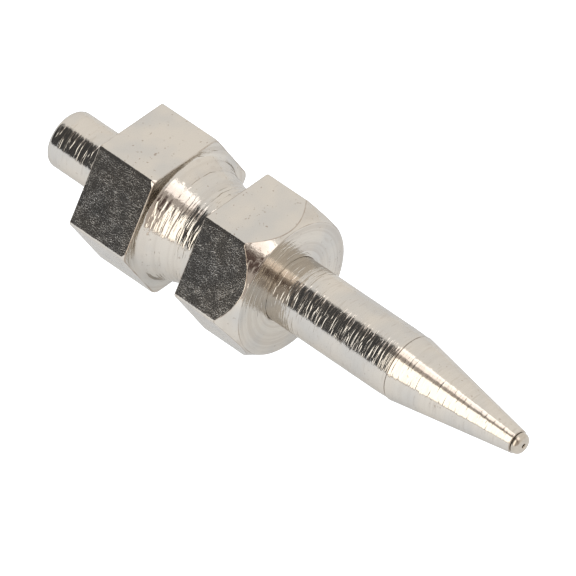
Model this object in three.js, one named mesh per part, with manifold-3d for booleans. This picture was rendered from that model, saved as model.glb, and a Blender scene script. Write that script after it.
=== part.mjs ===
// A small oil burner nozzle that lies on its wrench flats, with its axis along X and its tip towards +X.
// From the inlet to the tip: a plain spigot, a rear hexagon body, a turned neck, a front hexagon union nut,
// a barrel and a cone that ends in a pressed-in orifice. An anti-drip valve sits inside the neck.
// Millimetres, +Z up. The origin is under the axis, halfway along the length, on the resting surface.
import * as THREE from "three";
import { mergeVertices } from "three/addons/utils/BufferGeometryUtils.js";
import Module from "manifold-3d";

const wasm = await Module();
wasm.setup();

// ---- Driving dimensions: the outside ----
const hexAcrossFlats = 10;
const rearHexLength = 5;
const neckDiameter = 7.5;
const neckLength = 4.55;
const neckStep = 0.35; // length of the cone from the neck down to the thread
const nutLength = 5;
const nutChamferAngle = 30; // degrees, between the chamfer and the axis
const nutFaceInset = 0.1; // the front face's circle stands this far inside the flats
const barrelDiameter = 4.75;
const barrelLength = 10.5;
const coneLength = 10;
const tipDiameter = 1.5;
const spigotDiameter = 4.2;
const spigotLength = 5.9;
const spigotEdge = 0.3; // chamfer on the spigot's free end
const hexEdge = 0.15; // light chamfer on the hexagons' plain ends

// ---- Driving dimensions: fits and walls ----
const slipGap = 0.02; // between fixed pieces that seat in or on each other
const runGap = 0.05; // between pieces that turn or slide in each other

const threadDiameter = 6.5; // pitch diameter of the fine union thread, modelled as a plain cylinder
const threadPitch = 0.75;
const threadTurns = 3.3; // turns in mesh when the nut is tight
const threadLead = 0.25; // chamfer on the thread's end

const spigotWall = 0.9;
const spigotSeat = 3; // how deep the spigot is pressed into the body
const filterWall = 0.5; // spigot wall round the filter
const filterLength = 2.8;
const filterCupWall = 0.7;
const filterEdge = 0.4; // chamfer round the filter's closed end
const ringWire = 0.4; // wire of both snap rings
const ringBite = 0.13; // how deep a snap ring sits in its groove
const ringRoom = 0.3; // wall left past a snap ring's groove
const ringGapAngle = 40; // degrees missing from a snap ring

const sealThickness = 0.4;
const sealBoreInset = 0.15; // a flat seal's bore is this much wider all round than the passage
const webThickness = 0.6; // between the spigot's socket and the valve chamber
const webBore = 2.8;

const chamberWall = 0.95; // under the thread
const seatLength = 2;
const seatBore = 1.6;
const seatConeDepth = 0.5;
const seatConeRise = 0.5; // radial growth of the seat's cone
const oRingSection = 0.5;
const oRingGap = 0.1; // room beside the O-ring in its groove
const oRingOffset = 0.25; // from the seat's middle towards its back, clear of the cone
const poppetHeadDiameter = 3;
const poppetHeadLength = 0.9;
const stemDiameter = 1.2;
const sealBossDiameter = 0.9; // boss on the poppet's head that carries its seal
const valveLift = 0.8;
const springWire = 0.32;
const springTurns = 5;
const retainerLength = 1.2;
const flowHoleDiameter = 0.7;
const flowHoles = 6;
const stemTail = 0.3; // stem left inside the retainer's front face when the valve is shut

const collarThickness = 0.8;
const slipWasherThickness = 0.2;
const barrelWall = 1.1;
const coneSocketWall = 0.65;
const coneSocketDepth = 4.6;
const coneRearBore = 2.1;
const coneWall = 0.4; // thinnest wall round the swirl core
const coreDiameter = 1.5;
const coreLength = 3.4;
const coreSlots = 3;
const coreSlotWidth = 0.3;
const coreSlotFloor = 0.375; // radius that the slots are cut down to
const coreSlotOffset = 0.25; // from the axis to a slot's middle, which sets the fuel turning
const coreNoseLength = 0.6;
const coreNoseDiameter = 0.55;
const screwLength = 2;
const screwBore = 0.8;
const screwSlotWidth = 0.5;
const screwSlotDepth = 0.6;
const insertHeadLength = 0.5;
const insertWall = 0.3; // tip wall round the insert's shank
const insertSetBack = 0.15; // between the swirl core and the insert
const insertTaper = 0.09; // how much narrower the shank's end is, all round
const insertRound = 0.4; // radius of the head's rounded edge
const orificeDiameter = 0.3;
const swirlChamberDepth = 0.5;

// ---- Sides on round shapes ----
const coarse = 36;
const fine = 24;
const wireSides = 8;
const springStepsPerTurn = 14;
const domeSteps = 3;
const holeSides = 12;

// ---- Stations along the axis, from the rear hexagon's back face ----
const neckStart = rearHexLength;
const nutStart = neckStart + neckLength;
const nutEnd = nutStart + nutLength;
const barrelEnd = nutEnd + barrelLength;
const tip = barrelEnd + coneLength;
const insertFace = tip - insertHeadLength;
const middle = (tip - spigotLength) / 2; // the origin's station

const bodyEnd = nutStart + threadTurns * threadPitch;
const collarStart = bodyEnd + sealThickness + 2 * slipGap;
const collarEnd = collarStart + collarThickness;
const shoulder = collarEnd + slipWasherThickness + 2 * slipGap; // inside face of the nut's front wall

const sealStart = spigotSeat + slipGap;
const webStart = sealStart + sealThickness + slipGap;
const chamberStart = webStart + webThickness;
const seatStart = chamberStart + slipGap;
const seatEnd = seatStart + seatLength;
const ringGrooveStart = bodyEnd - ringRoom - 2 * ringWire;
const retainerEnd = ringGrooveStart - slipGap;
const retainerStart = retainerEnd - retainerLength;
const poppetStart = seatEnd - seatConeDepth;
const headBack = poppetStart + poppetHeadLength + slipGap;
const stemEnd = retainerEnd - stemTail;

// ---- Radii ----
const hexFlat = hexAcrossFlats / 2;
const hexCorner = hexFlat / Math.cos(Math.PI / 6);
const neckRadius = neckDiameter / 2;
const threadRadius = threadDiameter / 2;
const nutThreadRadius = threadRadius + runGap;
const barrelRadius = barrelDiameter / 2;
const spigotRadius = spigotDiameter / 2;
const spigotBoreRadius = spigotRadius - spigotWall;
const filterSeatRadius = spigotRadius - filterWall;
const chamberRadius = threadRadius - chamberWall;
const plugRadius = chamberRadius - slipGap; // pieces that drop into the valve chamber
const stemRadius = stemDiameter / 2;
const collarRadius = nutThreadRadius - runGap;
const barrelBoreRadius = barrelRadius - barrelWall;
const socketRadius = barrelRadius - coneSocketWall;
const coneRearRadius = coneRearBore / 2;
const coreBoreRadius = coreDiameter / 2 + slipGap;
const tipRadius = tipDiameter / 2;
const insertRadius = tipRadius - insertWall;

// Outside radius of the cone at a station, and the station where it has a radius.
const coneRadiusAt = (x) => barrelRadius + ((tipRadius - barrelRadius) * (x - barrelEnd)) / coneLength;
const coneStationOf = (r) => barrelEnd + ((barrelRadius - r) * coneLength) / (barrelRadius - tipRadius);

const coreBoreEnd = coneStationOf(coreBoreRadius + coneWall);
const coreEnd = coreBoreEnd - slipGap;
const coreStart = coreEnd - coreLength;
const screwEnd = coreStart - slipGap;
const screwStart = screwEnd - screwLength;
const coneRear = barrelEnd - coneSocketDepth + slipGap;
const insertRear = coreBoreEnd + insertSetBack;

// ---- Shape helpers ----

// A three.js geometry as a manifold-3d solid.
function solidOf(geometry) {
  const bare = geometry.index ? geometry.toNonIndexed() : geometry.clone();
  bare.deleteAttribute("normal");
  bare.deleteAttribute("uv");
  const merged = mergeVertices(bare, 1e-5);
  const kept = [];
  for (let i = 0; i < merged.index.count; i += 3) {
    const [a, b, c] = [0, 1, 2].map((k) => merged.index.getX(i + k));
    if (a !== b && b !== c && c !== a) kept.push(a, b, c);
  }
  return new wasm.Manifold(
    new wasm.Mesh({
      numProp: 3,
      vertProperties: merged.attributes.position.array,
      triVerts: new Uint32Array(kept),
    }),
  );
}

// A solid turned about the X axis. The profile's [station, radius] points run once round it from its
// lowest station outwards, and either start and end on the axis or close on themselves.
function turned(profile, sides = coarse) {
  const points = profile.map(([x, r]) => new THREE.Vector2(r, x));
  const onAxis = profile[0][1] === 0;
  if (!onAxis) points.push(points[0].clone());
  return solidOf(new THREE.LatheGeometry(points, sides).rotateZ(-Math.PI / 2));
}

// A plain cylinder along the axis, as a tool for a bore or as a disc.
const rod = (start, end, radius, sides = coarse) =>
  turned([[start, 0], [start, radius], [end, radius], [end, 0]], sides);

// A tube with square ends.
const tube = (start, end, inner, outer, sides = coarse) =>
  turned([[start, inner], [start, outer], [end, outer], [end, inner]], sides);

// A hexagonal bar along the axis that stands on a flat.
function hexBar(start, end) {
  const bar = new THREE.CylinderGeometry(hexCorner, hexCorner, end - start, 6);
  bar.rotateY(Math.PI / 6).rotateZ(-Math.PI / 2).translate((start + end) / 2, 0, 0);
  return solidOf(bar);
}

// A box with its middle at a station, turned about the axis by an angle and pushed out from the axis.
function block(x, sizeX, sizeY, sizeZ, angle = 0, outY = 0, outZ = 0) {
  const box = new THREE.BoxGeometry(sizeX, sizeY, sizeZ).translate(x, outY, outZ);
  return solidOf(box.rotateX(angle));
}

// A ring of round section.
function torus(x, ringRadius, section, sides = fine) {
  const profile = Array.from({ length: wireSides }, (_, i) => {
    const a = (-2 * Math.PI * i) / wireSides;
    return [x + (section / 2) * Math.cos(a), ringRadius + (section / 2) * Math.sin(a)];
  });
  return turned(profile, sides);
}

// A split ring: a torus with a gap at the top.
function snapRing(x, outerRadius) {
  const ringRadius = outerRadius - ringWire / 2;
  const gap = 2 * ringRadius * Math.sin(THREE.MathUtils.degToRad(ringGapAngle / 2));
  const cut = block(x, 2 * ringWire, gap, outerRadius, 0, 0, ringRadius);
  return torus(x, ringRadius, ringWire).subtract(cut);
}

// The centreline of a compression spring about the axis, with a closed turn at each end.
class SpringLine extends THREE.Curve {
  constructor(start, end, radius, turns, wire) {
    super();
    Object.assign(this, { start, end, radius, turns, wire });
  }
  getPoint(t, target = new THREE.Vector3()) {
    const turn = t * this.turns;
    const closed = 1.15 * this.wire; // pitch of an end turn
    const length = this.end - this.start;
    const open = (length - 2 * closed) / (this.turns - 2);
    const inner = Math.min(Math.max(turn - 1, 0), this.turns - 2);
    const last = Math.max(turn - (this.turns - 1), 0);
    const x = this.start + closed * Math.min(turn, 1) + open * inner + closed * last;
    const a = 2 * Math.PI * turn;
    return target.set(x, this.radius * Math.cos(a), this.radius * Math.sin(a));
  }
}

// ---- The pieces ----

function inletSpigot() {
  const blank = turned([
    [-spigotLength, filterSeatRadius],
    [-spigotLength, spigotRadius - spigotEdge],
    [-spigotLength + spigotEdge, spigotRadius],
    [spigotSeat, spigotRadius],
    [spigotSeat, spigotBoreRadius],
    [filterSeatEnd, spigotBoreRadius],
    [filterSeatEnd, filterSeatRadius],
  ]);
  const grooveStart = snapRingAt - ringWire / 2;
  return blank.subtract(rod(grooveStart, grooveStart + ringWire, snapRingRadius + slipGap));
}
const snapRingAt = -spigotLength + ringRoom + ringWire;
const snapRingRadius = filterSeatRadius + ringBite;
const filterStart = snapRingAt + ringWire / 2 + slipGap;
const filterSeatEnd = filterStart + filterLength + slipGap;

// Sintered cup: a thick wall closed towards the snap ring.
function inletFilter() {
  const radius = filterSeatRadius - slipGap;
  return turned(
    [
      [filterStart, 0],
      [filterStart, radius - filterEdge],
      [filterStart + filterEdge, radius],
      [filterStart + filterLength, radius],
      [filterStart + filterLength, radius - filterCupWall],
      [filterStart + filterCupWall, radius - filterCupWall],
      [filterStart + filterCupWall, 0],
    ],
    fine,
  );
}

const filterSnapRing = () => snapRing(snapRingAt, snapRingRadius);

const spigotSeal = () =>
  tube(sealStart, sealStart + sealThickness, spigotBoreRadius + sealBoreInset, spigotRadius - slipGap, fine);

// Hexagon, neck and male thread in one turned piece, bored from both ends.
function rearHexBody() {
  const edge = turned([
    [0, 0],
    [0, hexCorner - hexEdge],
    [hexEdge, hexCorner],
    [rearHexLength, hexCorner],
    [rearHexLength, 0],
  ]);
  const hexagon = hexBar(0, rearHexLength).intersect(edge);
  const stem = turned([
    [rearHexLength / 2, 0],
    [rearHexLength / 2, neckRadius],
    [nutStart - slipGap - neckStep, neckRadius],
    [nutStart - slipGap, threadRadius],
    [bodyEnd - threadLead, threadRadius],
    [bodyEnd, threadRadius - threadLead],
    [bodyEnd, 0],
  ]);
  const past = 1;
  const socket = rod(-past, webStart, spigotRadius + slipGap);
  const passage = rod(webStart - past, chamberStart + past, webBore / 2);
  const chamber = rod(chamberStart, bodyEnd + past, chamberRadius);
  const groove = rod(ringGrooveStart, ringGrooveStart + ringWire + 2 * slipGap, circlipRadius + slipGap);
  return hexagon.add(stem).subtract(socket).subtract(passage).subtract(chamber).subtract(groove);
}
const circlipRadius = chamberRadius + ringBite;

function valveSeat() {
  const grooveWidth = oRingSection + 2 * oRingGap;
  const grooveRadius = plugRadius - oRingSection - slipGap;
  return turned(
    [
      [seatStart, seatBore / 2],
      [seatStart, plugRadius],
      [oRingAt - grooveWidth / 2, plugRadius],
      [oRingAt - grooveWidth / 2, grooveRadius],
      [oRingAt + grooveWidth / 2, grooveRadius],
      [oRingAt + grooveWidth / 2, plugRadius],
      [seatEnd, plugRadius],
      [seatEnd, seatBore / 2 + seatConeRise],
      [seatEnd - seatConeDepth, seatBore / 2],
    ],
    fine,
  );
}

const seatORing = () => torus(oRingAt, plugRadius - oRingSection / 2, oRingSection);
const oRingAt = seatStart + seatLength / 2 - oRingOffset;

// Head on a guided stem, with a boss that carries the seal.
function valvePoppet() {
  const head = poppetHeadDiameter / 2;
  const boss = sealBossDiameter / 2;
  return turned(
    [
      [poppetStart, 0],
      [poppetStart, boss],
      [seatEnd + slipGap, boss],
      [seatEnd + slipGap, head],
      [headBack, head],
      [headBack, stemRadius],
      [stemEnd, stemRadius],
      [stemEnd, 0],
    ],
    fine,
  );
}

// Cone-nosed rubber ring that shuts against the seat's cone.
function poppetSeal() {
  const noseRadius = seatBore / 2 - slipGap;
  return turned(
    [
      [poppetStart, sealBossDiameter / 2 + slipGap],
      [poppetStart, noseRadius],
      [seatEnd, noseRadius + seatConeRise],
      [seatEnd, sealBossDiameter / 2 + slipGap],
    ],
    fine,
  );
}

function valveSpring() {
  const radius = (stemRadius + poppetHeadDiameter / 2) / 2;
  const inset = springWire / 2 + slipGap;
  const line = new SpringLine(headBack + inset, retainerStart - inset, radius, springTurns, springWire);
  const section = new THREE.Shape().absarc(0, 0, springWire / 2, 0, 2 * Math.PI);
  const steps = springStepsPerTurn * springTurns;
  const geometry = new THREE.ExtrudeGeometry(section, {
    steps,
    curveSegments: 3,
    extrudePath: line,
    bevelEnabled: false,
  });
  return solidOf(geometry);
}

// Disc that guides the stem, with flow holes round it.
function springRetainer() {
  const holeCircle = (stemRadius + runGap + plugRadius) / 2;
  let disc = tube(retainerStart, retainerEnd, stemRadius + runGap, plugRadius, fine);
  for (let i = 0; i < flowHoles; i += 1) {
    const radius = flowHoleDiameter / 2;
    const hole = new THREE.CylinderGeometry(radius, radius, 2 * retainerLength, holeSides)
      .rotateZ(-Math.PI / 2)
      .translate((retainerStart + retainerEnd) / 2, 0, holeCircle)
      .rotateX((2 * Math.PI * i) / flowHoles);
    disc = disc.subtract(solidOf(hole));
  }
  return disc;
}

const retainerCirclip = () => snapRing(ringGrooveStart + ringWire / 2 + slipGap, circlipRadius);

function barrelSealWasher() {
  const start = bodyEnd + slipGap;
  return tube(start, start + sealThickness, barrelBoreRadius + sealBoreInset, collarRadius, fine);
}

function slipWasher() {
  const start = collarEnd + slipGap;
  return tube(start, start + slipWasherThickness, barrelRadius + runGap, collarRadius, fine);
}

// Hexagon nut with a chamfered front, a threaded bore and a front wall that holds the barrel's collar.
function unionNut() {
  const faceRadius = hexFlat - nutFaceInset;
  const chamferLength = (hexCorner - faceRadius) / Math.tan(THREE.MathUtils.degToRad(nutChamferAngle));
  const outline = turned(
    [
      [nutStart, 0],
      [nutStart, hexCorner - hexEdge],
      [nutStart + hexEdge, hexCorner],
      [nutEnd - chamferLength, hexCorner],
      [nutEnd, faceRadius],
      [nutEnd, 0],
    ],
    2 * coarse,
  );
  const past = 1;
  return hexBar(nutStart, nutEnd)
    .intersect(outline)
    .subtract(rod(nutStart - past, shoulder, nutThreadRadius))
    .subtract(rod(shoulder - past, nutEnd + past, barrelRadius + runGap));
}

function barrelTube() {
  return turned([
    [collarStart, barrelBoreRadius],
    [collarStart, collarRadius],
    [collarEnd, collarRadius],
    [collarEnd, barrelRadius],
    [barrelEnd - slipGap, barrelRadius],
    [barrelEnd - slipGap, socketRadius],
    [barrelEnd - coneSocketDepth, socketRadius],
    [barrelEnd - coneSocketDepth, barrelBoreRadius],
  ]);
}

function nozzleCone() {
  const tailRadius = socketRadius - slipGap;
  return turned([
    [coneRear, coneRearRadius],
    [coneRear, tailRadius],
    [barrelEnd, tailRadius],
    [barrelEnd, barrelRadius],
    [insertFace - slipGap, coneRadiusAt(insertFace)],
    [insertFace - slipGap, insertRadius + slipGap],
    [coreBoreEnd, insertRadius + slipGap],
    [coreBoreEnd, coreBoreRadius],
    [coreStart, coreBoreRadius],
    [screwEnd, coneRearRadius],
  ]);
}

// Hollow slotted screw that holds the swirl core.
function coreRetainingScrew() {
  return tube(screwStart, screwEnd - slipGap, screwBore / 2, coneRearRadius - slipGap, fine).subtract(
    block(screwStart, 2 * screwSlotDepth, screwSlotWidth, 2 * coneRearRadius),
  );
}

// Cone-nosed plug with slots that start the fuel turning. A flat tail lets the fuel reach them.
function swirlCore() {
  const radius = coreDiameter / 2;
  let core = turned(
    [
      [coreStart, 0],
      [coreStart, radius],
      [coreEnd - coreNoseLength, radius],
      [coreEnd, coreNoseDiameter / 2],
      [coreEnd, 0],
    ],
    fine,
  );
  for (let i = 0; i < coreSlots; i += 1) {
    const angle = (2 * Math.PI * i) / coreSlots;
    const middleAt = (coreStart + coreEnd) / 2;
    const outZ = coreSlotFloor + radius / 2;
    core = core.subtract(block(middleAt, 2 * coreLength, coreSlotWidth, radius, angle, coreSlotOffset, outZ));
  }
  return core;
}

// Pressed-in tip with a domed head, a fine orifice and a countersunk swirl chamber.
function orificeInsert() {
  const dome = Array.from({ length: domeSteps + 1 }, (_, i) => {
    const a = (Math.PI / 2) * (i / domeSteps);
    const inset = insertRound * (1 - Math.cos(a));
    return [tip - insertRound * (1 - Math.sin(a)), tipRadius - inset];
  });
  return turned(
    [
      [insertRear, insertRadius - insertTaper],
      [insertRear, insertRadius],
      [insertFace, insertRadius],
      [insertFace, tipRadius],
      ...dome,
      [tip, orificeDiameter / 2],
      [insertRear + swirlChamberDepth, orificeDiameter / 2],
    ],
    fine,
  );
}

// ---- Materials ----
const finish = (color, roughness, metalness = 1) =>
  new THREE.MeshStandardMaterial({ color, roughness, metalness });
const nickel = finish(0xd4cfc8, 0.25);
const steel = finish(0xb9bcc0, 0.3);
const tipBrass = finish(0xcdb999, 0.3);
const copper = finish(0xc07a4e, 0.35);
const bronze = finish(0xb08a4f, 0.7);
const rubber = finish(0x1c1c1e, 0.7, 0);

// ---- The assembly ----
const nozzle = new THREE.Group();
nozzle.position.set(-middle, 0, hexFlat);

function addPiece(name, solid, material) {
  const { numProp, vertProperties, triVerts } = solid.getMesh();
  const position = new THREE.InterleavedBuffer(new Float32Array(vertProperties), numProp);
  const geometry = new THREE.BufferGeometry()
    .setAttribute("position", new THREE.InterleavedBufferAttribute(position, 3, 0))
    .setIndex(new THREE.BufferAttribute(new Uint32Array(triVerts), 1));
  const mesh = new THREE.Mesh(geometry, material);
  mesh.name = name;
  nozzle.add(mesh);
}

addPiece("inlet_spigot", inletSpigot(), nickel);
addPiece("inlet_filter", inletFilter(), bronze);
addPiece("filter_snap_ring", filterSnapRing(), steel);
addPiece("spigot_seal", spigotSeal(), copper);
addPiece("rear_hex_body", rearHexBody(), nickel);
addPiece("valve_seat", valveSeat(), steel);
addPiece("seat_o_ring", seatORing(), rubber);
addPiece("valve_poppet", valvePoppet(), steel);
addPiece("poppet_seal", poppetSeal(), rubber);
addPiece("valve_spring", valveSpring(), steel);
addPiece("spring_retainer", springRetainer(), steel);
addPiece("retainer_circlip", retainerCirclip(), steel);
addPiece("barrel_seal_washer", barrelSealWasher(), copper);
addPiece("slip_washer", slipWasher(), steel);
addPiece("union_nut", unionNut(), nickel);
addPiece("barrel_tube", barrelTube(), nickel);
addPiece("nozzle_cone", nozzleCone(), nickel);
addPiece("core_retaining_screw", coreRetainingScrew(), steel);
addPiece("swirl_core", swirlCore(), steel);
addPiece("orifice_insert", orificeInsert(), tipBrass);

const part = new THREE.Group();
part.add(nozzle);
export default part;
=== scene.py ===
"""A nickel-plated oil burner nozzle that lies on its wrench flats on a pale studio floor."""
import math

import bmesh
import bpy
import numpy as np
from mathutils import Matrix, Vector


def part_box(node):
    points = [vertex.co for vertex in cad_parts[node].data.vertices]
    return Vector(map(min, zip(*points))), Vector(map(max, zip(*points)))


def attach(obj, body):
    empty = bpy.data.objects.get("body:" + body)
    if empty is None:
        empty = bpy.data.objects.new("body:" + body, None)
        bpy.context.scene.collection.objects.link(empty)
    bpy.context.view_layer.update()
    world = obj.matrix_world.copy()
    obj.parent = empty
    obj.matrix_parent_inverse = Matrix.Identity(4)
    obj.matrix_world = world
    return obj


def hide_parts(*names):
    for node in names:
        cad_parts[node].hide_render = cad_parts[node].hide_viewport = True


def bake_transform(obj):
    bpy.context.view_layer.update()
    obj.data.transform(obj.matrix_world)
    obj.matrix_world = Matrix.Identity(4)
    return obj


bl_info = {
    "name": "Oil burner nozzle",
    "version": (1, 0, 0),
    "blender": (4, 5, 0),
    "location": "3D View > Sidebar > Nozzle",
    "description": "Builds a turned, nickel-plated oil burner nozzle round its packed frame",
    "category": "Object",
}

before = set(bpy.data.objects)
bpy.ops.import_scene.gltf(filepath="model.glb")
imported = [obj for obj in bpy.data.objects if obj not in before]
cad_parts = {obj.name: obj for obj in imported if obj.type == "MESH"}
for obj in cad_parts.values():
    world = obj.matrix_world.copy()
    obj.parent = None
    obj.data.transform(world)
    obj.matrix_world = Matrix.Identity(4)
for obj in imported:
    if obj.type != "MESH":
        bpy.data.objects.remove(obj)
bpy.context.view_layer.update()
MM = 0.001

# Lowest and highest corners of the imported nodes, in millimetres.
BOXES = {name: [np.array(corner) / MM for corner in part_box(name)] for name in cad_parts}


def first_x(node):
    """Where a node starts along the axis, in millimetres."""
    return float(BOXES[node][0][0])


def last_x(node):
    """Where a node ends along the axis, in millimetres."""
    return float(BOXES[node][1][0])


def outer_radius(node):
    """Half of a node's height, in millimetres."""
    return float(BOXES[node][1][2] - BOXES[node][0][2]) / 2


AXIS_HEIGHT = float(BOXES["rear_hex_body"][1][2] + BOXES["rear_hex_body"][0][2]) / 2
HEX_FLAT = outer_radius("rear_hex_body")

# Places along the axis, in millimetres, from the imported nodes.
SPIGOT_END = first_x("inlet_spigot")
BODY_BACK = first_x("rear_hex_body")
THREAD_END = last_x("rear_hex_body")
NUT_BACK = first_x("union_nut")
NUT_FRONT = last_x("union_nut")
CONE_START = last_x("barrel_tube")
CONE_END = first_x("orifice_insert")
TIP = last_x("orifice_insert")
HEAD_BACK = TIP - 0.5  # where the tip's nub starts
FAR = TIP + 1  # past the whole nozzle

GAP = 0.02  # mm between pieces that fit into each other
SHANK_STEP = 0.3  # mm from the tip's nub in to its shank
CLOSE = 0.01  # mm within which a radius counts as lying on a surface


# ---- Sizes and colours that a user would change ----


class NozzleSizes(bpy.types.PropertyGroup):
    """Sizes of the turned and drawn surfaces, in millimetres."""

    hex_length: bpy.props.FloatProperty(name="Body hexagon length", description="Length in mm", default=5.0)
    corner_radius: bpy.props.FloatProperty(
        name="Bar corner radius", description="Rounding along the drawn bar's corners, in mm", default=0.3
    )
    edge_radius: bpy.props.FloatProperty(
        name="Edge radius", description="Rounding of the turned edges after plating, in mm", default=0.07
    )
    neck_diameter: bpy.props.FloatProperty(name="Neck diameter", description="In mm", default=7.5)
    neck_fillet: bpy.props.FloatProperty(
        name="Neck fillet", description="Radius from the neck up to the body hexagon, in mm", default=0.4
    )
    ridge_pitch: bpy.props.FloatProperty(
        name="Neck ridge pitch", description="Distance between the form tool's ridges, in mm", default=0.42
    )
    ridge_depth: bpy.props.FloatProperty(name="Neck ridge depth", description="In mm", default=0.011)
    chamfer_angle: bpy.props.FloatProperty(
        name="Nut chamfer", description="Angle to the axis", default=math.radians(30), subtype="ANGLE"
    )
    nut_face_inset: bpy.props.FloatProperty(
        name="Nut face inset", description="From the flats in to the front face's rim, in mm", default=0.1
    )
    thread_pitch: bpy.props.FloatProperty(name="Thread pitch", description="In mm", default=0.75)
    thread_diameter: bpy.props.FloatProperty(name="Thread pitch diameter", description="In mm", default=6.5)
    thread_depth: bpy.props.FloatProperty(
        name="Thread depth", description="From crest to root, in mm", default=0.4
    )


class NozzleFinish(bpy.types.PropertyGroup):
    """Colours of the metals, as sRGB hex."""

    nickel: bpy.props.StringProperty(name="Nickel", description="Bright nickel plate", default="#D4CDC2")
    tarnish: bpy.props.StringProperty(name="Tarnish", description="Thin film on edges", default="#8A7460")
    steel: bpy.props.StringProperty(name="Steel", description="Turned stainless steel", default="#B9BCC0")
    copper: bpy.props.StringProperty(name="Copper", description="Annealed copper", default="#C98A63")
    bronze: bpy.props.StringProperty(name="Bronze", description="Sintered bronze", default="#A9803F")
    brass: bpy.props.StringProperty(name="Tip", description="Tip alloy, slightly warm", default="#CFC5B6")
    rubber: bpy.props.StringProperty(name="Rubber", description="Moulded nitrile rubber", default="#1B1B1D")


class StudioSettings(bpy.types.PropertyGroup):
    """The camera."""

    azimuth: bpy.props.FloatProperty(
        name="Azimuth", description="0 looks along +Y", default=math.radians(43.5), subtype="ANGLE"
    )
    elevation: bpy.props.FloatProperty(
        name="Elevation", description="Above the horizon", default=math.radians(43.85), subtype="ANGLE"
    )
    roll: bpy.props.FloatProperty(
        name="Roll", description="Of the camera", default=math.radians(0.79), subtype="ANGLE"
    )
    distance: bpy.props.FloatProperty(
        name="Distance", description="From the camera to the axis", default=0.6, unit="LENGTH"
    )
    lens: bpy.props.FloatProperty(name="Lens", description="Focal length in mm", default=582.9)
    aim_x: bpy.props.FloatProperty(
        name="Aim", description="Place on the axis that the framing is set from, in mm", default=3.425
    )
    frame_right: bpy.props.FloatProperty(
        name="Frame right",
        description="How far that place is right of the frame's middle, in mm",
        default=2.70,
    )
    frame_down: bpy.props.FloatProperty(
        name="Frame down",
        description="How far that place is below the frame's middle, in mm",
        default=1.73,
    )


# ---- Surfaces ----


def around_round(sides):
    """Angles about the axis, evenly spaced, from straight up towards -Y."""
    return np.linspace(0, 2 * math.pi, sides, endpoint=False)


COLUMNS_ON_FLAT = 26
COLUMNS_ON_CORNER = 9


def around_hex(flat, corner):
    """Angles about the axis for a rounded hexagon, closer together towards and round its corners."""
    edge = math.atan((flat - corner) * math.tan(math.pi / 6) / flat)
    on = edge * np.sin(np.linspace(-math.pi / 2, math.pi / 2, COLUMNS_ON_FLAT))
    bend = np.linspace(edge, math.pi / 3 - edge, COLUMNS_ON_CORNER + 2)[1:-1]
    return np.concatenate([np.concatenate([on, bend]) + k * math.pi / 3 for k in range(6)])


def hex_radius(theta, flat, corner):
    """Distance from the axis to a hexagon with rounded corners.

    On a flat it is flat / cos(a), where a is the angle from the flat's middle. Round a corner it is the far
    crossing of the ray with the corner's circle.
    """
    a = np.abs((theta + math.pi / 6) % (math.pi / 3) - math.pi / 6)
    reach = (flat - corner) / math.cos(math.pi / 6)
    off = a - math.pi / 6
    bend = reach * np.cos(off) + np.sqrt(np.maximum(corner**2 - (reach * np.sin(off)) ** 2, 0))
    return np.where(np.tan(a) <= (flat - corner) * math.tan(math.pi / 6) / flat, flat / np.cos(a), bend)


class Profile:
    """A closed outline that is carried round the axis. Each corner may differ from angle to angle.

    A corner is (x, radius, fillet, steps, finish): its place, the fillet round it, the rows on the straight
    run after it, and the finish of that run. Fillets are arcs between their tangent points.
    """

    ARC_ROWS = 6
    WORN = 0.15  # mm; the film of tarnish lies on fillets smaller than this
    GUARD = 0.02  # mm from a fillet to the next row, which keeps the shading of a run flat

    def __init__(self, corners, theta):
        ones = np.ones_like(theta)
        points = np.array([[x * ones, r * ones] for x, r, *_ in corners])
        rows, finishes, edges, faces = [], [], [], []
        arcs = [self.arc(points, i, corner[2]) for i, corner in enumerate(corners)]
        for i, corner in enumerate(corners):
            rows += arcs[i]
            finishes += [corner[4]] * len(arcs[i])
            edges += [1.0 if 0 < corner[2] < self.WORN else 0.0] * len(arcs[i])
            faces += [0.5 if corner[2] else 0.0] * len(arcs[i])
            start, end = arcs[i][-1], arcs[(i + 1) % len(corners)][0]
            length = np.hypot(*(end - start)).mean()
            steep = float(np.abs((end - start)[1]).mean() / max(length, 1e-9))
            guard = min(self.GUARD / max(length, 1e-9), 0.25)
            for u in np.linspace(guard, 1 - guard, max(corner[3], 2)):
                rows.append(start + (end - start) * u)
                finishes.append(corner[4])
                edges.append(0.0)
                faces.append(steep)
        self.x, self.r = np.array(rows).transpose(1, 0, 2)
        self.theta = np.broadcast_to(theta, self.x.shape)
        self.finish = np.array(finishes)
        self.edge = np.array(edges)
        self.face = np.array(faces)

    def arc(self, points, i, fillet):
        """The rows round one corner, or the corner itself where it has no fillet."""
        here = points[i]
        if not fillet:
            return [here]
        to_last, to_next = points[i - 1] - here, points[(i + 1) % len(points)] - here
        to_last = to_last / np.hypot(*to_last)
        to_next = to_next / np.hypot(*to_next)
        half = np.arccos(np.clip((to_last * to_next).sum(0), -1, 1)) / 2
        middle = to_last + to_next
        centre = here + middle / np.hypot(*middle) * fillet / np.sin(half)
        sweep = math.pi - 2 * half
        first = here + to_last * fillet / np.tan(half) - centre
        last = here + to_next * fillet / np.tan(half) - centre
        steps = np.linspace(0, 1, self.ARC_ROWS)
        spokes = [np.sin((1 - u) * sweep) * first + np.sin(u * sweep) * last for u in steps]
        return [centre + spoke / np.sin(sweep) for spoke in spokes]


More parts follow.
